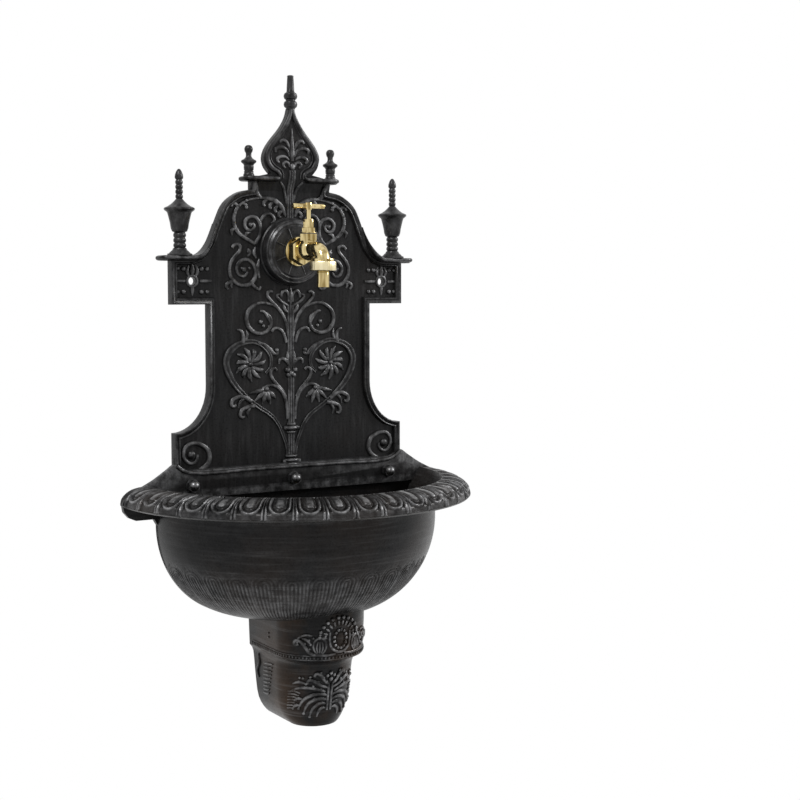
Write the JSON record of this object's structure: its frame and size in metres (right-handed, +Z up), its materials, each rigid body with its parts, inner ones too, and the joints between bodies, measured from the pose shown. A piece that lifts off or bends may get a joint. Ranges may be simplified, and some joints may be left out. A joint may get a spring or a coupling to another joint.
{
  "type": "garden wall fountain",
  "caption": "Cast iron wall fountain: ornamented back plate with urn finials, brass bib tap with hose tail, half-round basin and pedestal bracket.",
  "frame": {"origin": "on the wall plane, midway between the two wall holes of the back plate", "axes": "+Z up along the height of the fountain, +Y into the wall, +X to the right seen from the front"},
  "size_m": [0.4306, 0.2253, 0.7636],
  "materials": {
    "cast_iron": "satin",
    "steel": "satin",
    "brass": "polished",
    "rubber": "matte"
  },
  "bodies": {
    "fountain": {"back_plate": "cast_iron", "crown_spire": "cast_iron", "left_urn_finial": "cast_iron", "right_urn_finial": "cast_iron", "left_small_finial": "cast_iron", "right_small_finial": "cast_iron", "basin": "cast_iron", "pedestal": "cast_iron", "skirt_screws": "steel", "skirt_washers": "steel", "skirt_dome_nuts": "steel", "pedestal_bolts": "steel", "pedestal_nuts": "steel", "waste_washer": "steel", "tap_back_washer": "steel", "waste_fitting": "brass", "waste_nut": "brass", "tap_body": "brass", "tap_back_nut": "brass", "bonnet": "brass", "gland_nut": "brass", "pedestal_seals": "rubber", "waste_seal": "rubber", "tap_face_washer": "rubber", "bonnet_washer": "rubber", "gland_packing": "rubber"},
    "valve": {"jumper_valve": "brass", "jumper_washer": "rubber"},
    "handle": {"spindle": "brass", "tee_bar": "brass"},
    "tail": {"hose_tail": "brass", "hose_washer": "rubber"},
    "union": {"union_nut": "brass"},
    "plug": {"drain_plug": "rubber"}
  },
  "joints": [
    {"name": "valve_lift", "type": "slide", "parent": "fountain", "child": "valve", "axis": [0, 0, 1], "range_m": [0, 0.005]},
    {"name": "handle_turn", "type": "hinge", "parent": "valve", "child": "handle", "pos_m": [0, -0.054, 0.087], "axis": [0, 0, 1], "range_deg": [0, 900]},
    {"name": "tail_drop", "type": "slide", "parent": "fountain", "child": "tail", "axis": [0, 0, -1], "range_m": [0, 0.0082]},
    {"name": "union_nut_turn", "type": "hinge", "parent": "tail", "child": "union", "pos_m": [0, -0.0885, 0.018], "axis": [0, 0, -1], "range_deg": [0, 1620]},
    {"name": "drain_plug_lift", "type": "slide", "parent": "fountain", "child": "plug", "axis": [0, 0, 1], "range_m": [0, 0.1]}
  ],
  "couplings": [
    {"joint": "valve_lift", "follows": "handle_turn", "m_per_rad": 0.000318},
    {"joint": "tail_drop", "follows": "union_nut_turn", "m_per_rad": 0.00028871}
  ]
}
